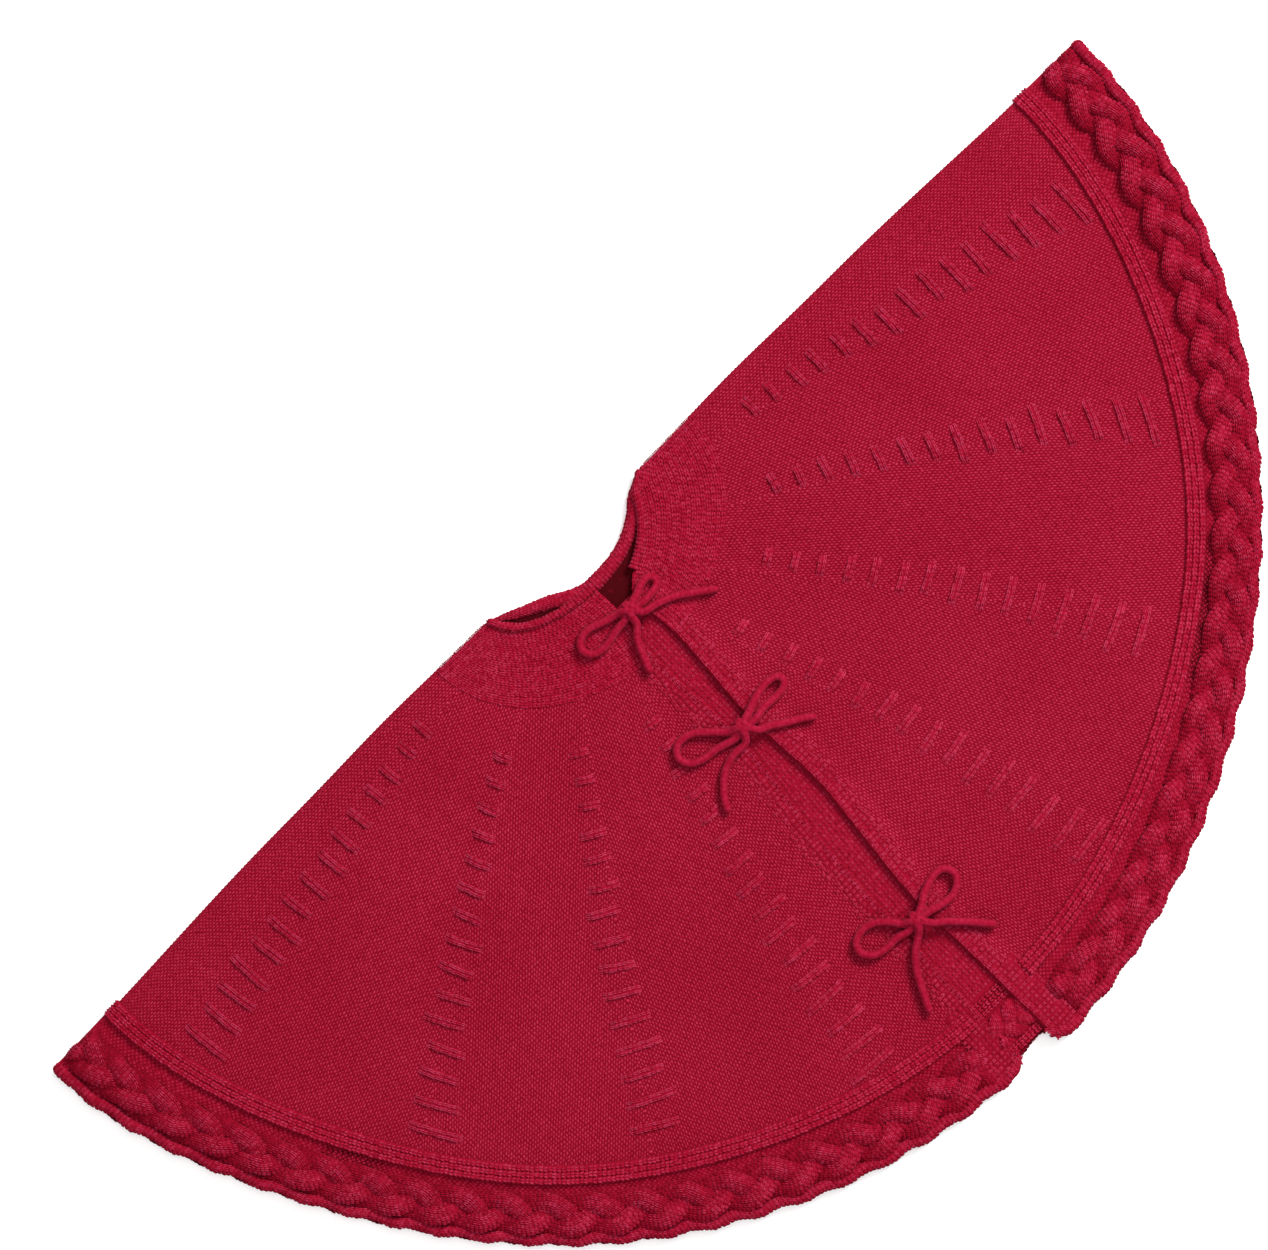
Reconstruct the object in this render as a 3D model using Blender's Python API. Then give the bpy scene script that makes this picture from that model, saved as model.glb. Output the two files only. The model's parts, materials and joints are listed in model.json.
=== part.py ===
"""Knitted tree skirt, folded in half along its diameter and laid flat.

Metres, +Z up. The fold lies along X, the half disc spreads from it towards -Y and
the slit runs down the middle of the upper half. Two front quarters lie on the back
half; an underlap strip closes the slit from beneath and three cord bows tie it.
The origin is under the middle of the cloth, on the plane that the skirt lies on.
"""
import math

import bpy
from mathutils import Vector

# Overall plan, measured from the middle of the fold
HEM_RADIUS = 0.585        # hem over most of each quarter
TIP_FLARE = 0.0265        # extra radius where the hem meets the fold
TIP_POWER = {"left": 20, "right": 5}            # how fast that flare dies away
FRONT_FLARE = {"left": 0.002, "right": 0.007}   # extra radius beside the slit
BACK_FLARE = -0.009       # the back hem is pulled in behind the slit

# Border, from the hem inwards
HEM_W = 0.009             # rolled selvedge
BORDER_W = {"left": 0.0510, "right": 0.0505}    # hem, braid and furrow beside the slit
FURROW_FLARE = {"left": 0.013, "right": 0.017}  # the furrow moves out towards the fold
FURROW_POWER = {"left": 12, "right": 2}
RIB_W = 0.018             # raised rib band inside the braid

# Neck and collar, half ellipses on the fold
NECK_HALF = 0.078         # half width of the neck opening
NECK_FRONT = 0.046        # depth of the front neck edge
NECK_BACK = 0.035         # depth of the back neck edge
NECK_EDGE_W = 0.008       # rolled neck edge
COLLAR_HALF = {"left": 0.146, "right": 0.158}
COLLAR_DEPTH = 0.121

# Slit: X of each flap's straight edge at the fold's depth and at the hem's
LEFT_EDGE = (0.000, -0.028)
RIGHT_EDGE = (0.023, -0.001)
BAND_W = 0.024            # knitted band along each flap's edge
FLAP_CORNER = 0.071       # the right flap's neck corner is cut back to this depth
UNDERLAP_TOP = 0.078      # underlap starts below the uppermost bow
UNDERLAP_COVER = 0.012    # how far it reaches under the right flap
UNDERLAP_SHORT = 0.022    # how far it stops short of the hem

# Thicknesses
BODY_T = 0.0040
COLLAR_T = 0.0045
NECK_EDGE_T = 0.0060
RIB_T = 0.0060
BRAID_T = 0.0090
HEM_T = 0.0055
BAND_T = 0.0046
UNDERLAP_T = 0.0030

# Ties
CORD_D = 0.0070
KNOT_HALF = Vector((0.0090, 0.0095, 0.0055))
BASE_R = 0.0034           # sewn base of each tie
BASE_H = 0.0020

GAP = 0.0003              # clearance between neighbouring pieces
FOLD_GAP = 0.0002         # the layers stop this far short of the fold axis
SHOULDER = 0.65           # edge height as a share of the thickness

# Bows: knot, then the route of each piece from the knot, as (X, depth) in metres
BOWS = {
    1: {"knot": (0.006, 0.078),
        "loop_left": ((-0.006, 0.0735), (-0.016, 0.071), (-0.030, 0.066), (-0.041, 0.067),
                      (-0.047, 0.074), (-0.043, 0.083), (-0.031, 0.086), (-0.016, 0.083),
                      (-0.006, 0.082)),
        "loop_right": ((0.018, 0.074), (0.028, 0.070), (0.036, 0.070), (0.039, 0.075),
                       (0.035, 0.0805), (0.027, 0.0815), (0.018, 0.082)),
        "tail_left": ((0.001, 0.0915), (-0.008, 0.101), (-0.014, 0.114), (-0.020, 0.129)),
        "tail_right": ((0.0135, 0.0885), (0.026, 0.0915), (0.041, 0.098), (0.054, 0.107),
                       (0.071, 0.119))},
    2: {"knot": (0.003, 0.214),
        "loop_left": ((-0.009, 0.2095), (-0.020, 0.199), (-0.032, 0.189), (-0.046, 0.187),
                      (-0.054, 0.195), (-0.051, 0.205), (-0.040, 0.211), (-0.026, 0.213),
                      (-0.0095, 0.2175)),
        "loop_right": ((0.015, 0.210), (0.026, 0.206), (0.040, 0.203), (0.052, 0.205),
                       (0.055, 0.211), (0.050, 0.216), (0.040, 0.217), (0.026, 0.216),
                       (0.015, 0.218)),
        "tail_left": ((-0.006, 0.2265), (-0.020, 0.2265), (-0.033, 0.2305), (-0.043, 0.238),
                      (-0.051, 0.247), (-0.057, 0.258)),
        "tail_right": ((0.0105, 0.2265), (0.020, 0.231), (0.030, 0.238), (0.042, 0.245),
                       (0.053, 0.253))},
    3: {"knot": (-0.009, 0.432),
        "loop_left": ((-0.020, 0.427), (-0.026, 0.419), (-0.036, 0.410), (-0.048, 0.407),
                      (-0.059, 0.411), (-0.062, 0.420), (-0.055, 0.429), (-0.043, 0.432),
                      (-0.033, 0.432), (-0.0215, 0.4345)),
        "loop_right": ((0.0025, 0.427), (0.012, 0.421), (0.025, 0.417), (0.036, 0.418),
                       (0.041, 0.426), (0.037, 0.435), (0.026, 0.440), (0.013, 0.438),
                       (0.0032, 0.435)),
        "tail_left": ((-0.018, 0.4435), (-0.029, 0.451), (-0.040, 0.464), (-0.048, 0.479),
                      (-0.057, 0.497)),
        "tail_right": ((-0.001, 0.4445), (0.007, 0.451), (0.022, 0.467), (0.036, 0.484))},
}

CRIMSON = (0.42, 0.012, 0.042)
CORD_RED = (0.46, 0.014, 0.047)
SIDES = {"left": -1.0, "right": 1.0}


# --- plan curves -----------------------------------------------------------------

def line_at(edge, depth):
    """X of a flap's straight edge at a depth."""
    return edge[0] + (edge[1] - edge[0]) * depth / HEM_RADIUS


def half_ellipse(half, depth):
    """Radius of an ellipse that is centred on the middle of the fold."""
    return lambda a: half * depth / math.hypot(depth * math.cos(a), half * math.sin(a))


def hem(side, front):
    """Radius of the hem at an angle from the fold."""
    flare = FRONT_FLARE[side] if front else BACK_FLARE
    return lambda a: (HEM_RADIUS + TIP_FLARE * abs(math.cos(a)) ** TIP_POWER[side]
                      + flare * math.sin(a) ** 12)


def furrow(side):
    """Radius of the furrow between the braid and the rib band."""
    return lambda a: (HEM_RADIUS - BORDER_W[side]
                      + FURROW_FLARE[side] * abs(math.cos(a)) ** FURROW_POWER[side])


def inset(curve, width):
    return lambda a: curve(a) - width


def slit_line(side, front):
    """X of the line that the quarter's curved pieces stop at, by depth."""
    if not front:
        return lambda depth: 0.5 * GAP
    edge = LEFT_EDGE if side == "left" else RIGHT_EDGE
    return lambda depth: SIDES[side] * line_at(edge, depth) + BAND_W + GAP


def curve_points(curve, side, stop, count):
    """Points of a polar curve from the fold to the slit line, as (X, Y)."""
    first = math.asin(FOLD_GAP / curve(0.0))
    low, high = first, math.radians(110.0)
    for _ in range(40):
        mid = 0.5 * (low + high)
        radius = curve(mid)
        if radius * math.cos(mid) > stop(radius * math.sin(mid)):
            low = mid
        else:
            high = mid
    points = []
    for i in range(count + 1):
        a = first + (low - first) * i / count
        radius = curve(a)
        points.append(Vector((SIDES[side] * radius * math.cos(a), -radius * math.sin(a))))
    return points


# --- solids ----------------------------------------------------------------------

def material(name, colour, rough):
    made = bpy.data.materials.new(name)
    made.use_nodes = True
    shader = made.node_tree.nodes["Principled BSDF"]
    shader.inputs["Base Color"].default_value = (*colour, 1.0)
    shader.inputs["Roughness"].default_value = rough
    shader.inputs["Metallic"].default_value = 0.0
    return made


def add_mesh(name, verts, faces, colour):
    mesh = bpy.data.meshes.new(name)
    mesh.from_pydata([tuple(v) for v in verts], [], faces)
    mesh.validate()
    mesh.materials.append(material(name, colour, 0.9))
    obj = bpy.data.objects.new(name, mesh)
    obj.location = (0.0, fold_y(), 0.0)
    bpy.context.collection.objects.link(obj)
    return obj


def strip(name, first, second, flat_z, face_z, edge_w, colour=CRIMSON):
    """Closed strip of cloth between two plan curves: one flat face, one with soft edges."""
    verts, faces = [], []
    rise = face_z - flat_z
    for p, q in zip(first, second):
        along = q - p
        t = min(edge_w / along.length, 0.3)
        for point, z in ((p, flat_z), (q, flat_z), (q, flat_z + SHOULDER * rise),
                         (q - along * t, face_z), (p + along * t, face_z),
                         (p, flat_z + SHOULDER * rise)):
            verts.append((point.x, point.y, z))
    n = len(first)
    for i in range(n - 1):
        for k in range(6):
            a, b = 6 * i + k, 6 * i + (k + 1) % 6
            faces.append((a, b, b + 6, a + 6))
    faces.append(tuple(reversed(range(6))))
    faces.append(tuple(range(6 * (n - 1), 6 * n)))
    if turned_in(verts, faces):
        faces = [tuple(reversed(f)) for f in faces]
    return add_mesh(name, verts, faces, colour)


def turned_in(verts, faces):
    """True where the signed volume says that the faces point inwards."""
    total = 0.0
    for face in faces:
        a = Vector(verts[face[0]])
        for i in range(1, len(face) - 1):
            total += a.dot(Vector(verts[face[i]]).cross(Vector(verts[face[i + 1]])))
    return total < 0.0


def tube(name, route, colour=CORD_RED):
    """Round cord along a smooth route, with filled ends."""
    points = smooth_route(route, 1.05 * CORD_D)
    curve = bpy.data.curves.new(name, "CURVE")
    curve.dimensions = "3D"
    curve.bevel_depth = 0.5 * CORD_D
    curve.bevel_resolution = 2
    curve.use_fill_caps = True
    spline = curve.splines.new("POLY")
    spline.points.add(len(points) - 1)
    for slot, point in zip(spline.points, points):
        slot.co = (*point, 1.0)
    curve.materials.append(material(name, colour, 0.85))
    obj = bpy.data.objects.new(name, curve)
    obj.location = (0.0, fold_y(), 0.0)
    bpy.context.collection.objects.link(obj)
    return obj


def smooth_route(route, step):
    """Evenly spaced points on a Catmull-Rom curve through the route."""
    pts = [2 * route[0] - route[1], *route, 2 * route[-1] - route[-2]]
    fine = []
    for p0, p1, p2, p3 in zip(pts, pts[1:], pts[2:], pts[3:]):
        for i in range(16):
            t = i / 16
            fine.append(0.5 * (2 * p1 + (p2 - p0) * t + (2 * p0 - 5 * p1 + 4 * p2 - p3) * t * t
                               + (3 * p1 - p0 - 3 * p2 + p3) * t ** 3))
    fine.append(route[-1])
    length = sum((b - a).length for a, b in zip(fine, fine[1:]))
    count = max(3, round(length / step))
    out, run, target = [fine[0]], 0.0, length / count
    for a, b in zip(fine, fine[1:]):
        seg = (b - a).length
        while seg > 0 and run + seg >= target and len(out) < count:
            out.append(a.lerp(b, (target - run) / seg))
            target += length / count
        run += seg
    out.append(fine[-1])
    return out


# --- heights -------------------------------------------------------------------------

def fold_y():
    """Y of the fold, with the origin under the middle of the cloth."""
    deepest = max(hem("right", True)(math.radians(a / 4)) * math.sin(math.radians(a / 4))
                  for a in range(320, 361))
    return 0.5 * (deepest + FOLD_GAP)


def mid_z():
    """Height of the plane in which the two layers meet."""
    return BRAID_T + 0.5 * GAP


def faces_z(front, thick):
    """Flat inner face and soft outer face of a layer."""
    if front:
        low = mid_z() + 0.5 * GAP
        return low, low + thick
    high = mid_z() - 0.5 * GAP
    return high, high - thick


def band_floor(side):
    """Underside of a flap's band: the right one lies on the underlap."""
    low = mid_z() + 0.5 * GAP
    return low if side == "left" else low + UNDERLAP_T + GAP


def band_top(side):
    return band_floor(side) + BAND_T


def base_x(side, x, depth):
    """X of a tie's sewn base: on its flap's band, clear of the knot."""
    reach = KNOT_HALF.x + BASE_R + 0.001
    if side == "left":
        return min(x - reach, line_at(LEFT_EDGE, depth) - BASE_R)
    return max(x + reach, line_at(RIGHT_EDGE, depth) + BASE_R)


def cord_z(x, knot_x, depth):
    """Height of a tie's centre line: over the sewn base, then down onto the cloth."""
    away = abs(x - knot_x)
    side = "left" if x < knot_x else "right"
    past_base = abs(base_x(side, knot_x, depth) - knot_x) + BASE_R + 0.5 * CORD_D
    near = band_top(side) + BASE_H + 2.5 * GAP + 0.5 * CORD_D + 0.0005
    rest = band_top(side) + 1.5 * GAP + 0.5 * CORD_D
    t = min(1.0, max(0.0, (away - past_base) / 0.018))
    z = near + (rest - near) * t * t * (3 - 2 * t)
    if side == "right":
        drop = band_top("right") - band_top("left")
        s = min(1.0, max(0.0, (away - BAND_W - 0.018) / 0.020))
        z -= drop * s * s * (3 - 2 * s)
    return z


# --- the pieces ----------------------------------------------------------------------

def quarter(prefix, side, front):
    """Curved pieces of one quarter: neck edge, collar, body, rib band, braid and hem."""
    stop = slit_line(side, front)
    neck = half_ellipse(NECK_HALF, NECK_FRONT if front else NECK_BACK)
    collar_in = half_ellipse(NECK_HALF + NECK_EDGE_W,
                             (NECK_FRONT if front else NECK_BACK) + NECK_EDGE_W)
    collar_out = half_ellipse(COLLAR_HALF[side], COLLAR_DEPTH)
    outline, ditch = hem(side, front), furrow(side)
    rings = (("neck_edge", neck, inset(collar_in, GAP), NECK_EDGE_T, 0.002, 12),
             ("collar", collar_in, inset(collar_out, GAP), COLLAR_T, 0.003, 14),
             ("body", collar_out, inset(ditch, RIB_W + GAP), BODY_T, 0.003, 18),
             ("rib_band", inset(ditch, RIB_W), inset(ditch, GAP), RIB_T, 0.004, 18),
             ("braid", ditch, inset(outline, HEM_W + GAP), BRAID_T, 0.006, 18),
             ("hem", inset(outline, HEM_W), outline, HEM_T, 0.003, 18))
    for label, inner, outer, thick, edge_w, count in rings:
        flat_z, face_z = faces_z(front, thick)
        strip(f"{prefix}_{side}_{label}",
              curve_points(inner, side, stop, count),
              curve_points(outer, side, stop, count), flat_z, face_z, edge_w)


def edge_run(side, shift, top, bottom, count):
    """Points down a flap's edge, moved outwards by shift."""
    edge = LEFT_EDGE if side == "left" else RIGHT_EDGE
    run = []
    for i in range(count + 1):
        depth = top + (bottom - top) * i / count
        run.append(Vector((line_at(edge, depth) + SIDES[side] * shift, -depth)))
    return run


def hem_depth(side, x, front=True):
    """Depth at which the hem crosses a given X near the slit."""
    radius = hem(side, front)(math.radians(88.0))
    return math.sqrt(radius * radius - x * x)


def neck_depth(x):
    return NECK_FRONT * math.sqrt(max(0.0, 1.0 - (x / NECK_HALF) ** 2))


def front_band(side):
    """Band along a flap's edge, from the neck to the hem."""
    edge = LEFT_EDGE if side == "left" else RIGHT_EDGE
    outer_x = line_at(edge, NECK_FRONT) + SIDES[side] * BAND_W
    inner_top = FLAP_CORNER if side == "right" else neck_depth(edge[0])
    outer_top = neck_depth(outer_x)
    ends = [hem_depth(side, edge[1]), hem_depth(side, edge[1] + SIDES[side] * BAND_W)]
    strip(f"front_{side}_band",
          edge_run(side, 0.0, inner_top, ends[0], 4),
          edge_run(side, BAND_W, outer_top, ends[1], 4),
          band_floor(side), band_top(side), 0.003)


def underlap():
    """Ribbed strip behind the slit, joined to the left flap and free under the right one."""
    bottom = HEM_RADIUS + FRONT_FLARE["left"] - UNDERLAP_SHORT
    left = [p + Vector((GAP, 0.0)) for p in edge_run("left", 0.0, UNDERLAP_TOP, bottom, 4)]
    right = edge_run("right", UNDERLAP_COVER, UNDERLAP_TOP, bottom, 4)
    low = mid_z() + 0.5 * GAP
    strip("front_left_underlap", left, right, low, low + UNDERLAP_T, 0.002)


def knot(name, x, depth):
    """Wrapped knot: a flattened ball over the slit."""
    verts, faces = [], []
    rings, turns = 7, 12
    centre = Vector((x, -depth, band_top("right") + GAP + KNOT_HALF.z))
    verts.append(centre + Vector((0, 0, KNOT_HALF.z)))
    for i in range(1, rings):
        a = math.pi * i / rings
        for j in range(turns):
            b = 2 * math.pi * j / turns
            verts.append(centre + Vector((KNOT_HALF.x * math.sin(a) * math.cos(b),
                                          KNOT_HALF.y * math.sin(a) * math.sin(b),
                                          KNOT_HALF.z * math.cos(a))))
    verts.append(centre - Vector((0, 0, KNOT_HALF.z)))
    last = len(verts) - 1
    for j in range(turns):
        k = (j + 1) % turns
        faces.append((0, 1 + j, 1 + k))
        faces.append((last, last - turns + k, last - turns + j))
        for i in range(rings - 2):
            a = 1 + i * turns
            faces.append((a + j, a + turns + j, a + turns + k, a + k))
    if turned_in(verts, faces):
        faces = [tuple(reversed(f)) for f in faces]
    add_mesh(name, verts, faces, CORD_RED)


def tie_base(name, x, depth, low):
    """Short sewn stub that a tie starts from."""
    sides = 10
    ring = [(x + BASE_R * math.cos(2 * math.pi * i / sides),
             -depth + BASE_R * math.sin(2 * math.pi * i / sides)) for i in range(sides)]
    verts = [(px, py, low) for px, py in ring] + [(px, py, low + BASE_H) for px, py in ring]
    faces = [tuple(reversed(range(sides))), tuple(range(sides, 2 * sides))]
    faces += [(i, (i + 1) % sides, sides + (i + 1) % sides, sides + i) for i in range(sides)]
    add_mesh(name, verts, faces, CORD_RED)


def bow(number, plan):
    """One tied bow: knot, two loops, two tails and the sewn base of each tie."""
    x, depth = plan["knot"]
    knot(f"bow_{number}_knot", x, depth)
    for part in ("loop_left", "loop_right", "tail_left", "tail_right"):
        route = [Vector((px, -pd, cord_z(px, x, depth))) for px, pd in plan[part]]
        tube(f"bow_{number}_{part}", route)
    for side in SIDES:
        tie_base(f"bow_{number}_base_{side}", base_x(side, x, depth), depth,
                 band_top(side) + GAP)


def build():
    for obj in list(bpy.data.objects):
        bpy.data.objects.remove(obj, do_unlink=True)
    for side in SIDES:
        quarter("front", side, True)
        front_band(side)
        quarter("back", side, False)
    underlap()
    for number, plan in BOWS.items():
        bow(number, plan)


build()
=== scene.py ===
import json
import math

import bpy
import numpy as np
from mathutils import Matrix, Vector


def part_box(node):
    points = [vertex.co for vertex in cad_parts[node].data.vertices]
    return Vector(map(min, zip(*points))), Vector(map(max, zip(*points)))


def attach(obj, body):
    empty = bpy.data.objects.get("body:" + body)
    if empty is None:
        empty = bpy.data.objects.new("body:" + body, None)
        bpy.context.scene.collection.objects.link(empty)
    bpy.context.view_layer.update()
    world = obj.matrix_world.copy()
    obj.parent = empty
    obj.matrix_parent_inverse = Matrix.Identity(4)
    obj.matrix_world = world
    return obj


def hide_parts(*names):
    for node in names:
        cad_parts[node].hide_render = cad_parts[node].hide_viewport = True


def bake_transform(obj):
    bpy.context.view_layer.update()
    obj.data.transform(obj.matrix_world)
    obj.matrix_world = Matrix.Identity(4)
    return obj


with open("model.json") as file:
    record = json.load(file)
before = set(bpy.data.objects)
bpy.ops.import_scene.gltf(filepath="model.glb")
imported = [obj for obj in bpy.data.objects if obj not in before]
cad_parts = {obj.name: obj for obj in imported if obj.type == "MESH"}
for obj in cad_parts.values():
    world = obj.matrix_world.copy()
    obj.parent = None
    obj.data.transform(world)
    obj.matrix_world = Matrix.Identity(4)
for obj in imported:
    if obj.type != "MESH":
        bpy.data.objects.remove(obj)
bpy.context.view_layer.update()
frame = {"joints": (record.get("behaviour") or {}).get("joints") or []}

# --- places taken from the frame ---
fold = next(j for j in frame["joints"] if j["name"] == "back_fold")
FOLD_Y, MID_Z = fold["pos_m"][1], fold["pos_m"][2]
SIGN = {"left": -1.0, "right": 1.0}
OUT = {"front": 1.0, "back": -1.0}

# --- the skirt's plan, in metres from the middle of the fold ---
HEM_R, TIP_FLARE, TIP_POWER = 0.585, 0.0265, {"left": 20, "right": 5}
SLIT_FLARE, BACK_FLARE = {"left": 0.002, "right": 0.007}, -0.009
HEM_W, RIB_W, BAND_W, ROWS_W, NECK_W = 0.009, 0.017, 0.024, 0.014, 0.008
BORDER = {"left": 0.051, "right": 0.0505}
FURROW_FLARE, FURROW_POWER = {"left": 0.013, "right": 0.017}, {"left": 12, "right": 2}
NECK_HALF = 0.078
NECK_DEPTH = {"front": 0.0385, "back": 0.0345, "right flap": 0.056}
COLLAR_HALF, COLLAR_DEPTH = {"left": 0.146, "right": 0.158}, 0.121
SCALLOP, SCALLOP_PITCH, SCALLOP_PHASE = 0.0014, 0.039, {"left": 0.7, "right": 2.1}
LADDERS = {"left": ((9.3, 4, -3), (32.5, 10, -7), (54.4, 11, 7), (76.1, 8, 9)),
           "right": ((10.9, 7, -8), (32.2, 14, -8), (53.3, 17, 10), (74.0, 15, 9))}
# each ladder's degrees from the fold 0.5 m out, its degrees per metre inwards, and the
# degrees that its rungs are turned towards the slit

# --- heights above the plane where the two layers meet ---
CLOTH_H, COLLAR_H, RIB_H, HEM_H, FURROW_H = 0.0034, 0.0036, 0.0034, 0.0012, 0.0016
UNDERLAP_H, FLAP_LIFT = 0.0024, 0.0034

# --- gauge ---
MOSS_ROW, MOSS_COLUMN, MOSS_RELIEF = 0.002, 0.0022, 0.00065
BRAID_REPEAT, BRAID_FOLD_REACH = 0.117, 0.005
RUNG_STEP, RUNG_HALF, RUNG_RISE = 0.0228, 0.004, 0.0011
UP = (0.0, 0.0, 1.0)


def smooth(t):
    t = np.clip(t, 0.0, 1.0)
    return t * t * (3 - 2 * t)


def bump(x, centre, width):
    return np.exp(-((x - centre) / width) ** 2)


def value_at(curve, a):
    """One value of a curve that is written for arrays."""
    return float(curve(np.array([a]))[0])


def unit(vectors):
    return vectors / np.linalg.norm(vectors, axis=1, keepdims=True)


def same(vector, count):
    return np.tile(vector, (count, 1))


def slit_x(side, depth):
    """X of a flap's edge at a depth below the fold."""
    if side == "left":
        return (-0.028 * depth / HEM_R - 0.0015 + 0.0085 * bump(depth, 0.225, 0.075)
                + 0.004 * bump(depth, 0.07, 0.03))
    edge = (0.023 - 0.024 * depth / HEM_R - 0.003 * bump(depth, 0.205, 0.05)
            + 0.003 * bump(depth, 0.295, 0.04) - 0.005 * bump(depth, 0.42, 0.06)
            + 0.003 * bump(depth, 0.585, 0.05) - 0.006 * bump(depth, 0.075, 0.025))
    return np.maximum(edge, np.minimum(0.0125 + 1.03 * (0.073 - depth), 0.034))


def corner_cut(away):
    """How far a flap's rounded corner lies inside the hem, by distance from the slit."""
    return 0.0085 * np.clip(1.0 - away / 0.013, 0.0, 1.0) ** 2


def scallops(side, part, a):
    """Waves along the hem, fading out at the fold."""
    phase = SCALLOP_PHASE[side] + (0.0 if part == "front" else 2.0)
    return SCALLOP * smooth(a / 0.08) * np.sin(2 * np.pi * a * HEM_R / SCALLOP_PITCH + phase)


def hem_r(side, part):
    flare = BACK_FLARE if part == "back" else SLIT_FLARE[side]
    slit_end = abs(value_at(lambda depth: slit_x(side, depth), HEM_R))

    def radius(a):
        cut = corner_cut(HEM_R * (0.5 * np.pi - a) - slit_end) if part == "front" else 0.0
        return (HEM_R - cut + TIP_FLARE * np.abs(np.cos(a)) ** TIP_POWER[side]
                + flare * np.sin(a) ** 12 + scallops(side, part, a))
    return radius


def furrow_r(side):
    return lambda a: (HEM_R - BORDER[side]
                      + FURROW_FLARE[side] * np.abs(np.cos(a)) ** FURROW_POWER[side]
                      + 0.0012 * np.sin(9 * a + 1.0))


def ellipse_r(half, depth):
    return lambda a: half * depth / np.hypot(depth * np.cos(a), half * np.sin(a))


def collar_r(side):
    return ellipse_r(COLLAR_HALF[side], COLLAR_DEPTH)


def neck_r(side, part, out=0.0):
    """Neck opening; most of its edges run up to the fold in hollow curves."""
    corner = 0.003 if side == "left" else 0.01
    round_it = lambda a: corner * np.clip(1.0 - a / 0.16, 0.0, 1.0) ** 2
    if part == "front" and side == "left":
        hollow = ellipse_r(NECK_HALF + out, NECK_DEPTH["front"] + out)
        return lambda a: hollow(a) + round_it(a)
    low, power = NECK_DEPTH["back"], 5 if side == "left" else 2
    if part == "front":
        low, power = NECK_DEPTH["right flap"], 1.6
    return lambda a: (out + low + (NECK_HALF - low) * np.abs(1 - a / (0.5 * np.pi)) ** power
                      + round_it(a))


def lift(side, x, depth):
    """Extra height of the right flap where it lies on the underlap."""
    if side == "left":
        return 0.0 * x
    away = x - slit_x("right", depth)
    return FLAP_LIFT * smooth((0.03 - away) / 0.018) * smooth((depth - 0.05) / 0.025)


def ripple(x, depth):
    """Low waves of the relaxed cloth."""
    return 0.0005 * (np.sin(21 * x + 9 * depth) + np.sin(17 * depth - 13 * x + 2.0)
                     + 0.7 * np.sin(47 * x + 31 * depth + 1.0))


def droop(x, depth):
    """How far the turned edge lies inside the fold line, most at the hem's corners."""
    x = np.abs(x)
    return ((0.003 + 0.008 * smooth((x - 0.33) / 0.28) - 0.002 * bump(x, 0.205, 0.07))
            * np.exp(-np.maximum(depth, 0) / 0.035))


def settle(side, part, x, depth, h):
    """World points of plan points at a height above the meeting plane."""
    x, depth, h = np.broadcast_arrays(x, depth, h)
    y = FOLD_Y - depth - droop(x, depth)
    if part == "front":
        z = MID_Z + h + lift(side, x, depth) + ripple(x, depth) * smooth(depth / 0.03)
    else:
        z = MID_Z - h
    return np.stack([x, y, z], -1)


def slit_gap(side, part, x, depth):
    """How far a plan point is outside the line that the quarter stops at."""
    if part == "front":
        return SIGN[side] * (x - slit_x(side, depth))
    return SIGN[side] * x


# --- rings ---

class Line:
    """A path on the cloth: points, the way out of the cloth and the way to the hem."""

    def __init__(self, points, out, across, shade=1.0):
        self.points, self.out, self.across, self.shade = points, out, across, shade


def round_fold(x, phi, proud, h):
    """World points at angles round the fold's turn, and the way out of the cloth there."""
    points = np.stack([x, FOLD_Y - droop(x, 0.0 * x) + proud * np.cos(phi),
                       MID_Z + h * np.sin(phi)], -1)
    return points, np.stack([0.0 * phi, np.cos(phi), np.sin(phi)], -1)


def ring(side, part, radius, h, margin=0.0, step=0.003, reach=None):
    """Line of a polar curve from the fold to the slit, or over the fold's turn."""
    s = SIGN[side]
    if part == "roll":
        phi = np.linspace(0.5 * np.pi, -0.5 * np.pi, 11)
        x = s * value_at(radius, 0.0) + 0.0 * phi
        h = h + 0.0 * phi
        points, out = round_fold(x, phi, 0.75 * h if reach is None else reach, h)
        return Line(points, out, same((s, 0.0, 0.0), len(phi)))
    a = np.linspace(0.0, 1.75, 2000)
    gap = slit_gap(side, part, s * radius(a) * np.cos(a), radius(a) * np.sin(a)) - margin
    stop = int(np.argmax(gap < 0.0))
    end = a[stop - 1] + (a[1] - a[0]) * gap[stop - 1] / (gap[stop - 1] - gap[stop])
    a = np.linspace(0.0, end, max(4, int(end * max(0.03, value_at(radius, 0.8)) / step) + 1))
    r = radius(a)
    points = settle(side, part, s * r * np.cos(a), r * np.sin(a), h)
    return Line(points, same((0.0, 0.0, OUT[part]), len(a)),
                np.stack([s * np.cos(a), -np.sin(a), 0.0 * a], -1))


def crown(q):
    return np.sqrt(np.clip(1.0 - q * q, 0.0, 1.0)) ** 0.8


def on_crown(line, q, half, rise):
    """Line along a rounded ridge at q, from -1 to 1 across it."""
    top = value_at(crown, q)
    half, rise = np.reshape(half, (-1, 1)), np.reshape(rise, (-1, 1))
    points = line.points + line.across * half * q + line.out * rise * top * 0.95
    out = line.across * q * rise / np.maximum(half, 1e-6) * 0.9 + line.out * top
    # The wale's shade is painted darker towards the ridge's edges.
    return Line(points, unit(out), line.across, line.shade * (0.35 + 0.65 * top))


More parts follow.
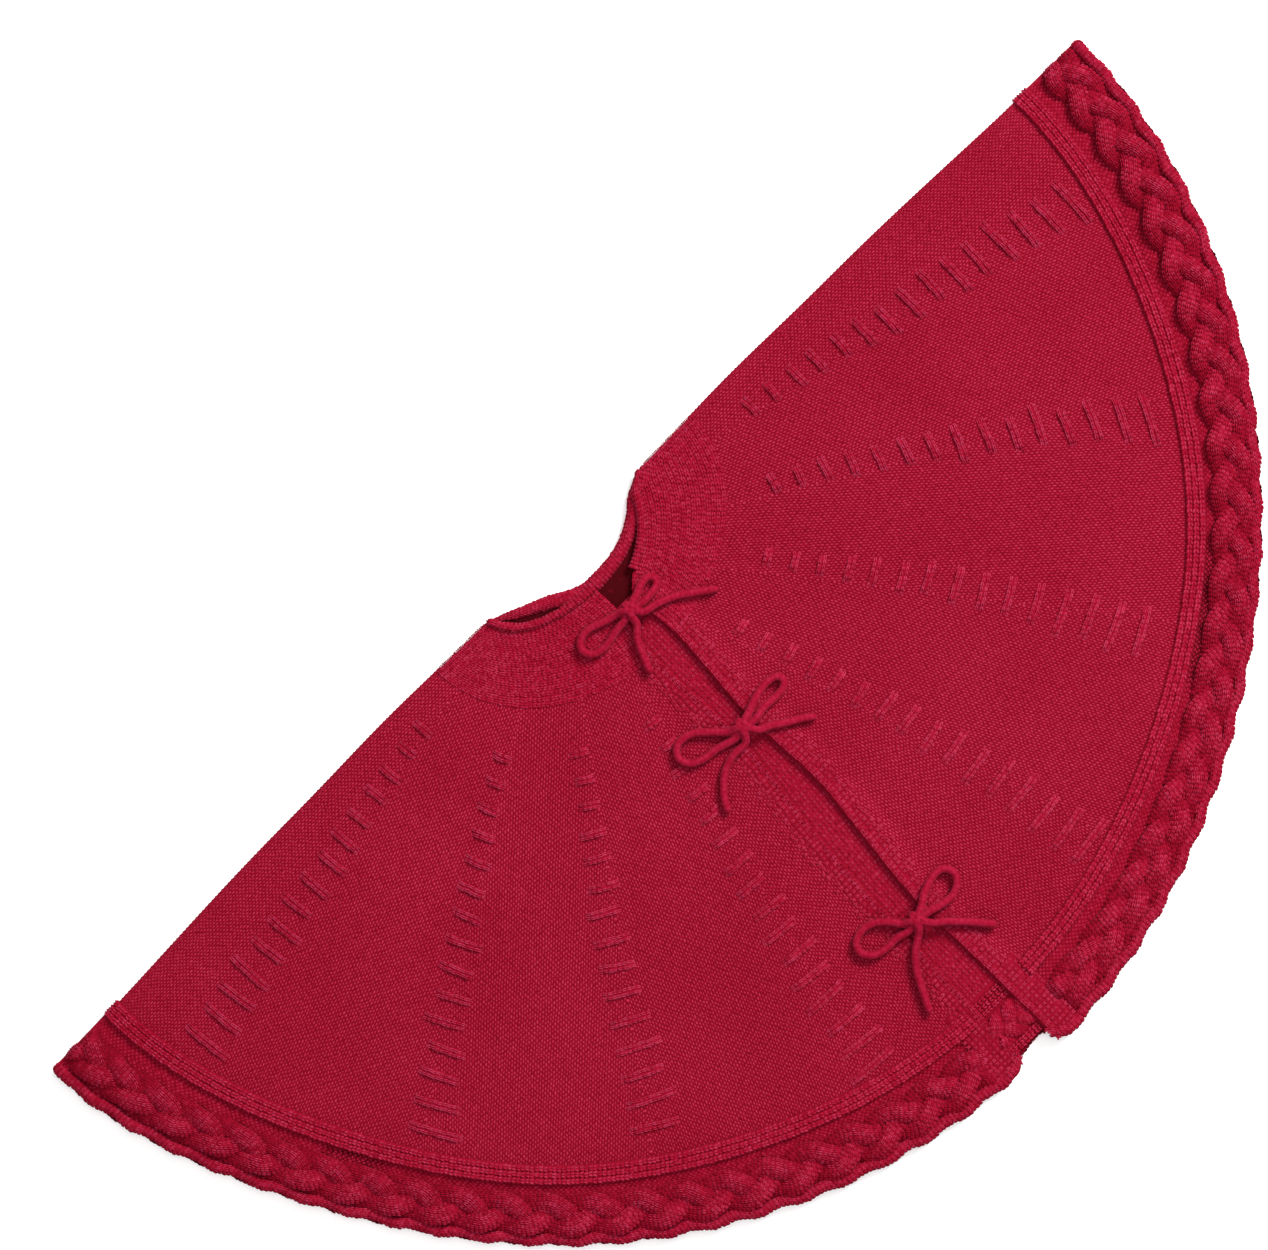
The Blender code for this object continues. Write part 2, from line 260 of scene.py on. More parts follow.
def ridge(line, half, rise, skirt, count, top):
    """Rounded ridge along a line: a grid with sunk edges, its relief (painted shade at the feet
    rising to a painted highlight on the crown), and its way out.
    """
    half, rise = np.reshape(half, (-1, 1)), np.reshape(rise, (-1, 1))
    turn = np.sin(np.linspace(-0.5 * np.pi, 0.5 * np.pi, count))
    rows = [line.points - line.across * half - line.out * skirt]
    rows += [line.points + line.across * half * q + line.out * rise * value_at(crown, q)
             for q in turn]
    rows.append(line.points + line.across * half - line.out * skirt)
    relief = top * np.concatenate([[0.0], np.sqrt(1.0 - turn * turn), [0.0]])
    return (np.stack(rows, 1), np.reshape(line.shade, (-1, 1)) * relief,
            line.out[len(line.out) // 2])


# --- meshes ---

def give(mesh, name, values, kind="FLOAT"):
    """Adds an attribute to a mesh's points."""
    mesh.attributes.new(name, kind, "POINT").data.foreach_set(
        "vector" if kind == "FLOAT_VECTOR" else "value", np.asarray(values, np.float32).ravel())


def take(mesh, name):
    values = np.zeros(len(mesh.vertices), np.float32)
    mesh.attributes[name].data.foreach_get("value", values)
    return values


def new_object(name, data):
    obj = bpy.data.objects.new(name, data)
    bpy.context.scene.collection.objects.link(obj)
    return obj


def new_mesh(name, points, faces, relief=None):
    mesh = bpy.data.meshes.new(name)
    mesh.from_pydata(np.asarray(points).reshape(-1, 3).tolist(), [], faces)
    if relief is not None:
        give(mesh, "relief", relief)
    mesh.shade_smooth()
    return new_object(name, mesh)


def valley_split(quads, relief):
    """Triangles that leave each raised point a bump of its own."""
    a, b, c, d = quads.T
    ac = relief[a] + relief[c] <= relief[b] + relief[d]
    first = np.where(ac[:, None], np.stack([a, b, c], -1), np.stack([a, b, d], -1))
    second = np.where(ac[:, None], np.stack([a, c, d], -1), np.stack([b, c, d], -1))
    return np.concatenate([first, second])


def grid_faces(rows, columns):
    i, j = np.meshgrid(np.arange(rows - 1), np.arange(columns - 1), indexing="ij")
    a = (i * columns + j).ravel()
    return np.stack([a, a + 1, a + columns + 1, a + columns], -1)


def turned(points, faces, out):
    """Faces wound so that they look along out."""
    f = faces[len(faces) // 2]
    p = points[f]
    normal = np.cross(p[1] - p[0], p[2] - p[0])
    return faces if normal @ np.asarray(out) > 0 else faces[:, ::-1]


def grids_to_object(name, grids):
    """One mesh from several (points[u, v, 3], relief[u, v], out) grids."""
    points, faces, relief, start = [], [], [], 0
    for grid, rel, out in grids:
        flat = grid.reshape(-1, 3)
        rel = np.broadcast_to(rel, grid.shape[:2]).ravel()
        quads = turned(flat, grid_faces(grid.shape[0], grid.shape[1]), out)
        faces += (valley_split(quads, rel) + start).tolist()
        points.append(flat)
        relief.append(rel)
        start += len(flat)
    return new_mesh(name, np.concatenate(points), faces, np.concatenate(relief))


def join(name, objects, soft=0.0):
    """Joins finished meshes into one object; soft evens out the painted shade and highlight that
    their relief carries.
    """
    points, faces, relief, start = [], [], [], 0
    for obj in objects:
        mesh = obj.data
        co = np.empty(len(mesh.vertices) * 3, np.float32)
        mesh.vertices.foreach_get("co", co)
        rel = take(mesh, "relief")
        if "shade" in mesh.attributes:
            rel *= take(mesh, "shade")
        rel = rel * (1.0 - soft) + 0.55 * soft
        faces += [[v + start for v in p.vertices] for p in mesh.polygons]
        points.append(co.reshape(-1, 3))
        relief.append(rel)
        start += len(mesh.vertices)
        bpy.data.objects.remove(obj, do_unlink=True)
    return new_mesh(name, np.concatenate(points), faces, np.concatenate(relief))


# --- yarn and floor materials ---

def add_node(tree, kind, inputs, output=0, **settings):
    """Adds a node, sets or links its inputs, and gives back one of its outputs."""
    made = tree.nodes.new(kind)
    for key, value in settings.items():
        setattr(made, key, value)
    for key, value in inputs.items():
        fill(tree, made.inputs[key], value)
    return made.outputs[output] if made.outputs else None


def fill(tree, socket, value):
    if isinstance(value, Value):
        value = value.socket
    if isinstance(value, bpy.types.NodeSocket):
        tree.links.new(value, socket)
    else:
        socket.default_value = value


class Value:
    """A shader socket that takes part in sums."""

    def __init__(self, make, socket):
        self.make, self.socket = make, socket

    def _math(self, operation, *values):
        return self.make.node("ShaderNodeMath", dict(enumerate(values)), operation=operation)

    def __add__(self, other):
        return self._math("ADD", self, other)

    def __mul__(self, other):
        return self._math("MULTIPLY", self, other)

    def __sub__(self, other):
        return self._math("SUBTRACT", self, other)

    def __rsub__(self, other):
        return self._math("SUBTRACT", other, self)

    __radd__, __rmul__ = __add__, __mul__

    def clamped(self):
        return self.make.node("ShaderNodeClamp", {"Value": self})

    def floored(self):
        return self._math("FLOOR", self)

    def wrapped(self, period):
        return self._math("FLOORED_MODULO", self, period)


class Maker:
    """Builds one material."""

    def __init__(self, name):
        self.material = bpy.data.materials.new(name)
        self.material.use_nodes = True
        self.tree = self.material.node_tree
        self.tree.nodes.clear()
        self.shader = self.tree.nodes.new("ShaderNodeBsdfPrincipled")
        add_node(self.tree, "ShaderNodeOutputMaterial", {"Surface": self.shader.outputs[0]})

    def node(self, kind, inputs, output=0, **settings):
        return Value(self, add_node(self.tree, kind, inputs, output, **settings))

    def set(self, **values):
        for key, value in values.items():
            fill(self.tree, self.shader.inputs[key.replace("_", " ")], value)
        return self.material


def moss_dashes(m):
    """Purl bumps between the lattice lines, long along the rows and set like bricks; used as bump
    height and as a painted highlight on each bump.
    """
    place = m.node("ShaderNodeAttribute", {}, 1, attribute_name="stitch")
    spot = m.node("ShaderNodeTexCoord", {}, 3)
    stray, wander = (m.node("ShaderNodeTexNoise", {"Vector": spot, "Scale": scale, "Detail": 1.0})
                     for scale in (170.0, 95.0))
    along, across = (m.node("ShaderNodeSeparateXYZ", {0: place}, k) for k in (0, 1))
    along = along + (stray - 0.5) * 1.5
    across = across + (wander - 0.5) * 0.9
    row = (across + 0.5).floored()
    near_row = across - row
    near_bump = (along - row + 1.0).wrapped(2.0) - 1.0
    return (1.0 - (near_bump * near_bump * 1.55 + near_row * near_row * 4.6)).clamped()


def yarn(name, hollow, body, crown_highlight, fuzz=1.0, moss=False):
    """Spun crimson yarn, with painted shade between the stitches and a painted highlight on their
    crowns.
    """
    m = Maker(name)
    place = m.node("ShaderNodeTexCoord", {}, 3)
    relief = m.node("ShaderNodeAttribute", {}, 2, attribute_name="relief")
    fibre = m.node("ShaderNodeTexNoise", {"Vector": place, "Scale": 900.0, "Detail": 3.0,
                                          "Roughness": 0.65})
    heather, drift = (m.node("ShaderNodeTexNoise", {"Vector": place, "Scale": scale,
                                                    "Detail": detail})
                      for scale, detail in ((260.0, 2.0), (9.0, 3.0)))
    height = fibre * 0.3 + heather * 0.3
    if moss:
        # On moss, the purl bumps raise the bump height and also add a painted highlight on each
        # bump.
        dashes = moss_dashes(m)
        relief = relief * 0.3 + dashes * 0.85
        height = height + dashes * 1.2
    # tone: painted shade and highlight from the relief attribute, dark in the hollows and pale on
    # the crowns, mixed with the yarn's own random heather, fibre and drift
    tone = (relief * 0.78 + (heather - 0.5) * (0.45 if moss else 0.7)
            + (fibre - 0.5) * 0.45 * fuzz + (drift - 0.5) * 0.2 + 0.1).clamped()
    colour = m.node("ShaderNodeValToRGB", {"Fac": tone})
    stops = colour.socket.node.color_ramp.elements
    stops.new(0.5)
    for stop, position, shade in zip(stops, (0.0, 0.48, 0.92), (hollow, body, crown_highlight)):
        stop.position, stop.color = position, (*shade, 1.0)
    normal = m.node("ShaderNodeBump", {"Strength": 0.6, "Distance": 0.0008, "Height": height})
    return m.set(Base_Color=colour, Roughness=0.9 - 0.1 * tone, Normal=normal,
                 Sheen_Weight=0.1, Sheen_Roughness=0.45, Sheen_Tint=(1.0, 0.16, 0.26, 1.0),
                 Specular_IOR_Level=0.05)


def floor_material():
    m = Maker("white paper")
    place = m.node("ShaderNodeTexCoord", {}, 3)
    grain = m.node("ShaderNodeTexNoise", {"Vector": place, "Scale": 30.0})
    return m.set(Base_Color=(0.92, 0.92, 0.92, 1.0), Roughness=0.9 + 0.04 * grain,
                 Specular_IOR_Level=0.1, Emission_Color=(1.0, 1.0, 1.0, 1.0),
                 Emission_Strength=0.22)


# Ramp stops of each yarn below: painted shade in the hollows, the yarn's own crimson, and a
# painted highlight on the crowns.
CRIMSON = (0.115, 0.0002, 0.004), (0.222, 0.0016, 0.015), (0.335, 0.026, 0.066)
KNIT = yarn("crimson knit", *CRIMSON)
MOSS = yarn("crimson moss stitch", *CRIMSON, moss=True)
CORD = yarn("crimson knitted cord", (0.12, 0.0003, 0.0045), (0.205, 0.0016, 0.015),
            (0.285, 0.01, 0.036), 0.8)
# The wrong side is painted darker all over: painted shade of the cloth's inside.
LINING = yarn("crimson wrong side", (0.04, 0.0001, 0.0015), (0.115, 0.0006, 0.007),
              (0.22, 0.006, 0.02))


# --- stitches laid by geometry nodes ---

STITCH_OUTLINE = ((0.0, 0.0, 0.0), (0.22, -0.21, 0.0), (0.75, -0.23, 0.0), (1.0, 0.0, 0.1),
                  (0.75, 0.23, 0.0), (0.22, 0.21, 0.0), (0.3, 0.0, 0.95), (0.7, 0.0, 1.0))
STITCH_FACES = ((0, 1, 6), (1, 2, 7, 6), (2, 3, 7), (3, 4, 7), (4, 5, 6, 7), (5, 0, 6))
STITCH_POINTS = 2 * len(STITCH_OUTLINE)


def knit_stitch():
    """The two legs of one knit stitch, in a unit box: X along the wale, Z out of the cloth."""
    points, faces = [], []
    for leg in (-1.0, 1.0):
        faces += [[len(points) + k for k in face] for face in STITCH_FACES]
        points += [(-0.56 + 1.12 * t, leg * (0.11 + 0.2 * t) + w, z)
                   for t, w, z in STITCH_OUTLINE]
    # Crown points carry relief 1 and foot points 0.05: a painted highlight on the legs and painted
    # shade where they meet the cloth.
    return new_mesh("knit stitch", points, faces,
                    [1.0 if z > 0.5 else 0.05 for _, _, z in points])


def stitch_tree():
    """Lays stitches end to end along wales, facing out of the cloth."""
    tree = bpy.data.node_groups.new("stitches along wales", "GeometryNodeTree")
    for label, kind in (("Wales", "Geometry"), ("Stitch", "Object"), ("Pitch", "Float"),
                        ("Width", "Float"), ("Height", "Float"), ("Overlap", "Float"),
                        ("Unevenness", "Float"), ("Seed", "Int"), ("Yarn", "Material")):
        tree.interface.new_socket(label, in_out="INPUT", socket_type="NodeSocket" + kind)
    tree.interface.new_socket("Knitting", in_out="OUTPUT", socket_type="NodeSocketGeometry")

    def add(kind, inputs, output=0, **settings):
        return add_node(tree, kind, inputs, output, **settings)

    given = tree.nodes.new("NodeGroupInput").outputs
    pitch, uneven, seed = given["Pitch"], given["Unevenness"], given["Seed"]
    wale = add("GeometryNodeMeshToCurve", {"Mesh": given["Wales"]})
    wale = add("GeometryNodeResampleCurve", {"Curve": wale, "Length": pitch}, mode="LENGTH")
    tangent = add("GeometryNodeInputTangent", {})
    out = add("GeometryNodeInputNamedAttribute", {"Name": "out"}, "Attribute",
              data_type="FLOAT_VECTOR")
    turn = add("FunctionNodeAlignRotationToVector", {"Vector": tangent}, axis="X")
    turn = add("FunctionNodeAlignRotationToVector", {"Rotation": turn, "Vector": out},
               axis="Z", pivot_axis="X")
    length = add("ShaderNodeMath", {0: pitch, 1: given["Overlap"]}, operation="MULTIPLY")
    size = add("ShaderNodeCombineXYZ", {"X": length, "Y": given["Width"], "Z": given["Height"]})
    low, high = (add("ShaderNodeMath", {0: 1.0, 1: uneven}, operation=operation)
                 for operation in ("SUBTRACT", "ADD"))
    share = add("FunctionNodeRandomValue", {2: low, 3: high, "Seed": seed}, 1)
    size = add("ShaderNodeVectorMath", {0: size, "Scale": share}, operation="SCALE")
    wander = add("FunctionNodeRandomValue", {0: (-1, -1, -1), 1: (1, 1, 1), "Seed": seed},
                 data_type="FLOAT_VECTOR")
    stray = add("ShaderNodeMath", {0: pitch, 1: uneven}, operation="MULTIPLY")
    nudge = add("ShaderNodeVectorMath", {0: wander, "Scale": stray}, operation="SCALE")
    wale = add("GeometryNodeSetPosition", {"Geometry": wale, "Offset": nudge})
    stitch = add("GeometryNodeObjectInfo", {"Object": given["Stitch"]}, "Geometry")
    knitting = add("GeometryNodeInstanceOnPoints", {"Points": wale, "Instance": stitch,
                                                    "Rotation": turn, "Scale": size})
    knitting = add("GeometryNodeRealizeInstances", {0: knitting})
    knitting = add("GeometryNodeSetMaterial", {"Geometry": knitting, "Material": given["Yarn"]})
    add("NodeGroupOutput", {0: knitting})
    return tree


STITCH = knit_stitch()
TREE = stitch_tree()


def lay_stitches(name, lines, pitch, width, height, overlap=1.1, seed=1):
    """One mesh of knit stitches along several lines."""
    lines = [line for line in lines if len(line.points) > 1]
    mesh = bpy.data.meshes.new(name)
    edges, start = [], 0
    for line in lines:
        n = len(line.points)
        edges += [(start + i, start + i + 1) for i in range(n - 1)]
        start += n
    mesh.from_pydata(np.concatenate([line.points for line in lines]).tolist(), edges, [])
    give(mesh, "out", np.concatenate([line.out for line in lines]), "FLOAT_VECTOR")
    give(mesh, "shade", np.concatenate([line.shade + np.zeros(len(line.points), np.float32)
                                        for line in lines]))
    wales = new_object(name + " wales", mesh)
    modifier = wales.modifiers.new("stitches", "NODES")
    modifier.node_group = TREE
    values = {"Stitch": STITCH, "Pitch": pitch, "Width": width, "Height": height,
              "Overlap": overlap, "Unevenness": 0.1, "Seed": seed, "Yarn": KNIT}
    for item in TREE.interface.items_tree:
        if item.item_type == "SOCKET" and item.in_out == "INPUT" and item.name in values:
            modifier[item.identifier] = values[item.name]
    graph = bpy.context.evaluated_depsgraph_get()
    knitted = bpy.data.meshes.new_from_object(wales.evaluated_get(graph), depsgraph=graph)
    knitted.name = name
    relief = take(knitted, "relief")
    tones = np.random.default_rng(seed).uniform(0.72, 1.18, len(relief) // STITCH_POINTS + 1)
    relief *= np.repeat(tones, STITCH_POINTS)[:len(relief)]
    knitted.attributes["relief"].data.foreach_set("value", relief)
    bpy.data.objects.remove(wales, do_unlink=True)
    return new_object(name, knitted)


def knitted(name, grids, wales, stitch, seed, soft, overlap=1.1):
    """One piece: a base of grids with stitches of a pitch, width and height laid on it."""
    return join(name, [grids_to_object("base", grids),
                       lay_stitches("stitches", wales, *stitch, overlap, seed)], soft)


# --- putting pieces on bodies ---

def finish(obj, side, part, *nodes, material=KNIT, slot="knit"):
    """Gives a piece its yarn and its body, or bakes a piece over the fold's turn into world space.
    """
    obj.data.materials.clear()
    obj.data.materials.append(material)
    if part == "roll":
        MID_Z + 0.0024
        MID_Z - 0.0024
        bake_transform(obj)
    else:
        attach(obj, f"front_{side}" if part == "front" else "back_half")
    if nodes:
        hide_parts(*nodes)
    return obj


def name_of(side, part, label):
    return f"{'fold' if part == 'roll' else part}_{side}_{label}"


# --- camera and light ---

def set_camera():
    lens, sensor, distance = 108.0, 36.0, 1.0666
    camera = bpy.data.cameras.new("camera")
    camera.lens, camera.sensor_width = lens, sensor
    eye = new_object("camera", camera)
    eye.location = (-0.0011, FOLD_Y - 0.0902, MID_Z + 0.004 + distance * lens / sensor)
    eye.rotation_euler = (0.0, 0.0, -math.radians(45.14))
    bpy.context.scene.camera = eye


def set_light():
    for name, place, size, power in (("key", (4.0, 0.8, 3.6), 2.2, 480),
                                     ("top", (0.3, 0.2, 3.4), 2.4, 42),
                                     ("fill", (-2.4, -0.8, 2.6), 2.0, 30)):
        light = bpy.data.lights.new(name, "AREA")
        light.shape, light.size, light.energy = "DISK", size, power
        lamp = new_object(name, light)
        lamp.location = place
        lamp.rotation_euler = (-Vector(place)).to_track_quat("-Z", "Y").to_euler()
    scene = bpy.context.scene
    scene.world = bpy.data.worlds.new("studio")
    scene.world.use_nodes = True
    back = scene.world.node_tree.nodes["Background"].inputs
    back["Color"].default_value, back["Strength"].default_value = (1.0, 1.0, 1.0, 1.0), 0.42
    scene.view_settings.view_transform = "Standard"
    w, z = 40.0, -0.0004
    floor = new_mesh("floor", [(-w, -w, z), (w, -w, z), (w, w, z), (-w, w, z)], [(0, 1, 2, 3)])
    floor.data.materials.append(floor_material())


# --- tie cords ---

CORD_D = 0.007
BOWS = {  # millimetres: across from the middle, and down from the fold
    1: {"knot": (6, 78),
        "loop_left": ((-6, 73.5), (-16, 71), (-30, 66), (-41, 67), (-47, 74), (-43, 83),
                      (-31, 86), (-16, 83), (-6, 82)),
        "loop_right": ((18, 74), (28, 70), (36, 70), (39, 75), (35, 80.5), (27, 81.5), (18, 82)),
        "tail_left": ((1, 91.5), (-8, 101), (-14, 114), (-20, 129)),
        "tail_right": ((13.5, 88.5), (26, 91.5), (41, 98), (54, 107), (71, 119))},
    2: {"knot": (3, 214),
        "loop_left": ((-9, 209.5), (-20, 199), (-32, 189), (-46, 187), (-54, 195), (-51, 205),
                      (-40, 211), (-26, 213), (-9.5, 217.5)),
        "loop_right": ((15, 210), (26, 206), (40, 203), (52, 205), (55, 211), (50, 216),
                       (40, 217), (26, 216), (15, 218)),
        "tail_left": ((-6, 226.5), (-20, 226.5), (-33, 230.5), (-43, 238), (-51, 247),
                      (-57, 258)),
        "tail_right": ((10.5, 226.5), (20, 231), (30, 238), (42, 245), (53, 253))},
    3: {"knot": (-9, 432),
        "loop_left": ((-20, 427), (-26, 419), (-36, 410), (-48, 407), (-59, 411), (-62, 420),
                      (-55, 429), (-43, 432), (-33, 432), (-21.5, 434.5)),
        "loop_right": ((2.5, 427), (12, 421), (25, 417), (36, 418), (41, 426), (37, 435),
                       (26, 440), (13, 438), (3.2, 435)),
        "tail_left": ((-18, 443.5), (-29, 451), (-40, 464), (-48, 479), (-57, 497)),
        "tail_right": ((-1, 444.5), (7, 451), (22, 467), (36, 484))},
}


def smooth_path(route, step):
    """Evenly spaced points on a Catmull-Rom curve through the route."""
    route = np.asarray(route, float)
    pts = np.vstack([2 * route[0] - route[1], route, 2 * route[-1] - route[-2]])
    t = np.linspace(0, 1, 16, endpoint=False)[:, None]
    fine = [0.5 * (2 * b + (c - a) * t + (2 * a - 5 * b + 4 * c - d) * t ** 2
                   + (3 * b - a - 3 * c + d) * t ** 3)
            for a, b, c, d in zip(pts, pts[1:], pts[2:], pts[3:])]
    fine = np.vstack(fine + [route[-1:]])
    run = np.concatenate([[0], np.cumsum(np.linalg.norm(np.diff(fine, axis=0), axis=1))])
    at = np.linspace(0, run[-1], max(4, int(round(run[-1] / step)) + 1))
    return np.stack([np.interp(at, run, fine[:, k]) for k in range(3)], -1), run[-1]


def cloth_top(x, depth):
    """Height of the cloth's upper face under a cord."""
    away = x - slit_x("right", depth)
    step = FLAP_LIFT * smooth((0.034 - away) / 0.02) * (away > -0.012)
    return MID_Z + (CLOTH_H + 0.0012 + step)


def tube_mesh(name, path, radius, sides=12, relief=0.035):
    """Knitted tube: rings of points with a stitch relief, and rounded ends."""
    n = len(path)
    tangent = unit(np.gradient(path, axis=0))
    up = np.zeros_like(path)
    ref = np.array(UP)
    for i in range(n):
        upright = ref - tangent[i] * (ref @ tangent[i])
        length = np.linalg.norm(upright)
        ref = upright / length if length > 1e-6 else ref
        up[i] = ref
    side = np.cross(tangent, up)
    turn = np.arange(sides) * 2 * np.pi / sides
    parity = (np.where(np.arange(n)[:, None] % 2, 0.5, -0.5)
              + np.where(np.arange(sides)[None, :] % 2, 0.5, -0.5))
    taper = np.ones(n)
    for k, value in enumerate((0.45, 0.8, 0.95)):
        taper[k] = taper[n - 1 - k] = value
    r = radius * taper[:, None] * (1.0 + relief * parity)
    points = (path[:, None, :] + r[..., None] * (
        np.cos(turn)[None, :, None] * up[:, None, :]
        + np.sin(turn)[None, :, None] * side[:, None, :])).reshape(-1, 3)
    faces = []
    for i in range(0, (n - 1) * sides, sides):
        for j in range(sides):
            k = (j + 1) % sides
            faces.append([i + j, i + k, i + sides + k, i + sides + j])
    faces += [list(range(sides))[::-1], list(range((n - 1) * sides, n * sides))]
    a, b, c = (points[faces[0][k]] for k in range(3))
    if np.cross(b - a, c - a) @ (a - path[0]) < 0:
        faces = [face[::-1] for face in faces]
    # Raised stitches on the cord get a painted highlight and sunk ones painted shade.
    return new_mesh(name, points, faces, (0.58 + 0.16 * parity).ravel())


def frame_box(name):
    low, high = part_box(name)
    return Vector(low), Vector(high)


def tie(number, plan, side):
    """One tie: sewn end, loop, back over the knot, and its free tail."""
    s, other = SIGN[side], "right" if side == "left" else "left"
    plan = {name: np.array(spots) / 1000 for name, spots in plan.items()}
    kx, kd = plan["knot"].tolist()
    low, high = frame_box(f"bow_{number}_knot")
    mid = 0.5 * (low.z + high.z)
    base_low, base_high = frame_box(f"bow_{number}_base_{side}")
    bx, by = 0.5 * (base_low.x + base_high.x), 0.5 * (base_low.y + base_high.y)

    def on_cloth(x, d, near):
        return (x, FOLD_Y - d, cloth_top(x, d) + 0.5 * CORD_D + 0.0003 + near)

    route = [(bx - s * 0.003, by, base_low.z + 0.5 * CORD_D - 0.0012),
             (0.5 * (bx + kx), by - 0.001, mid - 0.002), (kx, FOLD_Y - kd - 0.002, mid - 0.001)]
    route += [on_cloth(x, d, 0.0042 * max(0.0, 1.0 - abs(x - kx) / 0.028))
              for x, d in plan["loop_" + side][::-1].tolist()]
    route += [(kx + s * 0.003, FOLD_Y - kd + 0.001, mid + 0.0022),
              (kx - s * 0.003, FOLD_Y - kd - 0.006, mid + 0.0012)]
    route += [on_cloth(x, d, 0.003 * max(0.0, 1.0 - i / 2.0))
              for i, (x, d) in enumerate(plan["tail_" + other].tolist())]
    path, length = smooth_path(route, 0.0021)
    made = tube_mesh(f"bow_{number}_tie_{side}", path, 0.5 * CORD_D)
    nodes = [f"bow_{number}_loop_{side}", f"bow_{number}_tail_{other}"]
    if side == "left":
        nodes.append(f"bow_{number}_base_{side}")
    finish(made, "left", "front", *nodes, material=CORD, slot="cord")


def wrapped_knot(number):
    """Two turns of cord pulled round the middle of the bow."""
    low, high = frame_box(f"bow_{number}_knot")
    x, y, z = 0.5 * (low + high)
    turns = []
    ry, rz = 0.0066, 0.0034
    t = np.linspace(0, 2 * np.pi, 22)
    for lean, shift in ((0.25, -0.0022), (-0.3, 0.0026)):
        path = np.stack([x + shift + lean * ry * np.cos(t), y + ry * np.cos(t) - 0.0005,
                         z - 0.0006 + rz * np.sin(t)], -1)
        turns.append(tube_mesh("turn", path, 0.0029, relief=0.028))
    finish(join(f"bow_{number}_knot_wrap", turns), "left", "front", f"bow_{number}_knot",
           material=CORD, slot="cord")


def tie_stub(number):
    """Sewn start of the right tie, on the right flap's band."""
    low, high = frame_box(f"bow_{number}_base_right")
    x, y, _ = 0.5 * (low + high)
    t = np.linspace(0, 2 * np.pi, 14)
    path = np.stack([x + 0.0016 * np.cos(t), y + 0.0016 * np.sin(t), low.z + 0.0006 + 0 * t], -1)
    made = tube_mesh(f"bow_{number}_sewn_end", path, 0.0014, 8, 0.04)
    finish(made, "right", "front", f"bow_{number}_base_right", material=CORD, slot="cord")


# --- cloth pieces ---

def moss_gores(side, part):
    """Moss stitch panel: one straight lattice of purl bumps in each gore."""
    s = SIGN[side]
    edges = (0.0, *(at - 0.08 * lean for at, lean, _ in LADDERS[side]),
             98.0 if part == "front" else 90.0)
    inner, outer = collar_r(side), furrow_r(side)
    points, faces, relief, places, start = [], [], [], [], 0
    wind = slice(None, None, -1 if (s > 0) == (part == "front") else 1)
    for lo, hi in zip(edges, edges[1:]):
        mid = math.radians(0.5 * (lo + min(hi, 90.0))) if lo > 0 else 0.0
        lo, hi = math.radians(lo), math.radians(hi)
        i = np.arange(int(0.085 / MOSS_ROW), int(0.56 / MOSS_ROW))[:, None]
        along = i * MOSS_ROW
        t_hi, t_lo = along * math.tan(hi - mid), along * math.tan(lo - mid)
        j = np.arange(int(t_lo.min() / MOSS_COLUMN) - 1,
                      int(t_hi.max() / MOSS_COLUMN) + 2)[None, :]
        j_hi = np.ceil(t_hi / MOSS_COLUMN - 0.35)
        j_lo = np.floor(t_lo / MOSS_COLUMN + 0.35)
        t = np.where(j == j_hi, t_hi, np.where(j == j_lo, t_lo, j * MOSS_COLUMN))
        x = s * (along * math.cos(mid) - t * math.sin(mid))
        depth = along * math.sin(mid) + t * math.cos(mid)
        a, r = np.arctan2(depth, s * x), np.hypot(x, depth)
        keep = ((j >= j_lo) & (j <= j_hi) & (r > inner(a) - 0.003)
                & (r < outer(a) - RIB_W + 0.003))
        if part == "front":
            keep &= slit_gap(side, part, x, depth) > ROWS_W - 0.003
        fade = smooth(np.minimum(t_hi - t, t - t_lo) / 0.0025 + (0.5 if lo == 0 else 0.0))
        sign = np.where((i + j) % 2, 1.0, -1.0)
        near_ring = smooth((r - inner(a)) / 0.012) * smooth((outer(a) - RIB_W - r) / 0.012)
        h = CLOTH_H + MOSS_RELIEF * sign * fade - 0.0004 + 0.0006 * near_ring
        index = np.cumsum(keep.ravel()).reshape(keep.shape) - 1 + start
        points.append(settle(side, part, x, depth, h)[keep])
        # Raised bumps get a painted highlight and the hollows painted shade.
        relief.append((0.5 + 0.5 * sign * fade)[keep])
        places.append(np.stack([i + 0 * t, t / MOSS_COLUMN, 0 * t], -1)[keep])
        kept = np.stack([keep[:-1, :-1], keep[:-1, 1:], keep[1:, 1:], keep[1:, :-1]], -1)
        corners = np.stack([index[:-1, :-1], index[:-1, 1:], index[1:, 1:], index[1:, :-1]], -1)
        rel = np.concatenate([np.zeros(start), np.broadcast_to(sign, keep.shape)[keep]])
        faces += valley_split(corners[kept.all(-1)][:, wind], rel).tolist()
        for missing in range(4):
            some = (kept.sum(-1) == 3) & ~kept[..., missing]
            faces += np.delete(corners[some], missing, 1)[:, wind].tolist()
        start += int(keep.sum())
    made = new_mesh(name_of(side, part, "moss_panel"), np.concatenate(points), faces,
                    np.concatenate(relief))
    give(made.data, "stitch", np.concatenate(places), "FLOAT_VECTOR")
    return made


